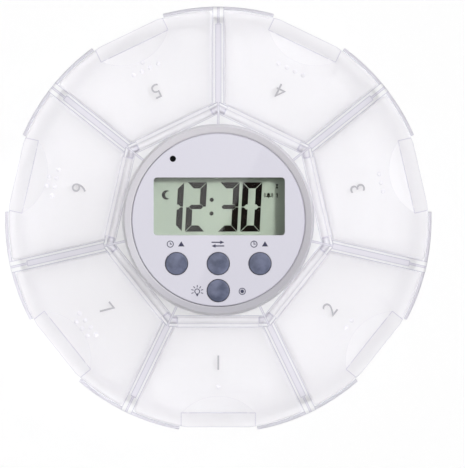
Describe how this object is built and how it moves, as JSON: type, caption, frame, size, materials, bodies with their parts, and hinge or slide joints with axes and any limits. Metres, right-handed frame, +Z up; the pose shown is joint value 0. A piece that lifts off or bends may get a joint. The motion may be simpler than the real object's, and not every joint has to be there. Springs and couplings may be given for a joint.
{
  "type": "electronic pill box",
  "caption": "Round pill box with wedge-shaped lidded compartments around a lift-out alarm timer with a display and round buttons.",
  "frame": {"origin": "on the box's axis, at the level of the foot ring that it stands on", "axes": "+Z up; -Y towards the first compartment, at the bottom edge of the display's figures; +X to the right of the display"},
  "size_m": [0.128, 0.1269, 0.0294],
  "materials": {
    "tray_plastic": "translucent white, satin moulded",
    "lid_plastic": "translucent white, satin moulded",
    "bezel_plastic": "silver-grey moulded, satin",
    "face_panel": "pale lavender silver, glossy",
    "clear_window": "clear, polished",
    "display_glass": "green-grey reflective display",
    "white_plastic": "moulded",
    "contact_rubber": "banded elastomer",
    "board_laminate": "green laminate with lacquer",
    "key_rubber": "matt silicone",
    "dark_metal": "pressed can",
    "speaker_black": "moulded frame and pressed magnet cup",
    "back_plastic": "fine spark texture",
    "cell_steel": "pressed steel can",
    "contact_metal": "nickel-plated spring strip",
    "screw_steel": "zinc-plated",
    "button_plastic": "slate blue, satin moulded"
  },
  "bodies": {
    "tray": {"tray": "tray_plastic"},
    "lid_1": {"lid_1": "lid_plastic"},
    "lid_2": {"lid_2": "lid_plastic"},
    "lid_3": {"lid_3": "lid_plastic"},
    "lid_4": {"lid_4": "lid_plastic"},
    "lid_5": {"lid_5": "lid_plastic"},
    "lid_6": {"lid_6": "lid_plastic"},
    "lid_7": {"lid_7": "lid_plastic"},
    "timer": {"timer_case": "bezel_plastic", "face_plate": "face_panel", "display_window": "clear_window", "back_cover": "back_plastic", "display": "display_glass", "display_holder": "white_plastic", "contact_strips": "contact_rubber", "circuit_board": "board_laminate", "keypad": "key_rubber", "microphone": "dark_metal", "speaker": "speaker_black", "coin_cell": "cell_steel", "minus_contact": "contact_metal", "plus_contact": "contact_metal", "case_screws": "screw_steel"},
    "hour_button": {"hour_button": "button_plastic"},
    "mode_button": {"mode_button": "button_plastic"},
    "minute_button": {"minute_button": "button_plastic"},
    "record_button": {"record_button": "button_plastic"},
    "battery_cover": {"battery_cover": "back_plastic"}
  },
  "joints": [
    {"name": "lid_1_hinge", "type": "hinge", "parent": "tray", "child": "lid_1", "pos_m": [0, -0.0301, 0.02505], "axis": [-1, 0, 0], "range_deg": [0, 90]},
    {"name": "lid_2_hinge", "type": "hinge", "parent": "tray", "child": "lid_2", "pos_m": [0.02353, -0.01877, 0.02505], "axis": [0.6235, 0.7818, 0], "range_deg": [-90, 0]},
    {"name": "lid_3_hinge", "type": "hinge", "parent": "tray", "child": "lid_3", "pos_m": [0.02935, 0.0067, 0.02505], "axis": [0.2225, -0.9749, 0], "range_deg": [0, 90]},
    {"name": "lid_4_hinge", "type": "hinge", "parent": "tray", "child": "lid_4", "pos_m": [0.01306, 0.02712, 0.02505], "axis": [-0.901, 0.4339, 0], "range_deg": [-90, 0]},
    {"name": "lid_5_hinge", "type": "hinge", "parent": "tray", "child": "lid_5", "pos_m": [-0.01306, 0.02712, 0.02505], "axis": [0.901, 0.4339, 0], "range_deg": [0, 90]},
    {"name": "lid_6_hinge", "type": "hinge", "parent": "tray", "child": "lid_6", "pos_m": [-0.02935, 0.0067, 0.02505], "axis": [-0.2225, -0.9749, 0], "range_deg": [-90, 0]},
    {"name": "lid_7_hinge", "type": "hinge", "parent": "tray", "child": "lid_7", "pos_m": [-0.02353, -0.01877, 0.02505], "axis": [-0.6235, 0.7818, 0], "range_deg": [0, 66]},
    {"name": "timer_lift", "type": "slide", "parent": "tray", "child": "timer", "axis": [0, 0, 1], "range_m": [0, 0.03]},
    {"name": "hour_button_press", "type": "slide", "parent": "timer", "child": "hour_button", "axis": [0, 0, -1], "range_m": [0, 0.0005], "stiffness_N_per_m": 200, "springref_m": -0.001},
    {"name": "mode_button_press", "type": "slide", "parent": "timer", "child": "mode_button", "axis": [0, 0, -1], "range_m": [0, 0.0005], "stiffness_N_per_m": 200, "springref_m": -0.001},
    {"name": "minute_button_press", "type": "slide", "parent": "timer", "child": "minute_button", "axis": [0, 0, -1], "range_m": [0, 0.0005], "stiffness_N_per_m": 200, "springref_m": -0.001},
    {"name": "record_button_press", "type": "slide", "parent": "timer", "child": "record_button", "axis": [0, 0, -1], "range_m": [0, 0.0005], "stiffness_N_per_m": 200, "springref_m": -0.001},
    {"name": "battery_cover_turn", "type": "hinge", "parent": "timer", "child": "battery_cover", "pos_m": [0, -0.0095, 0.0065], "axis": [0, 0, 1], "range_deg": [0, 45]}
  ]
}
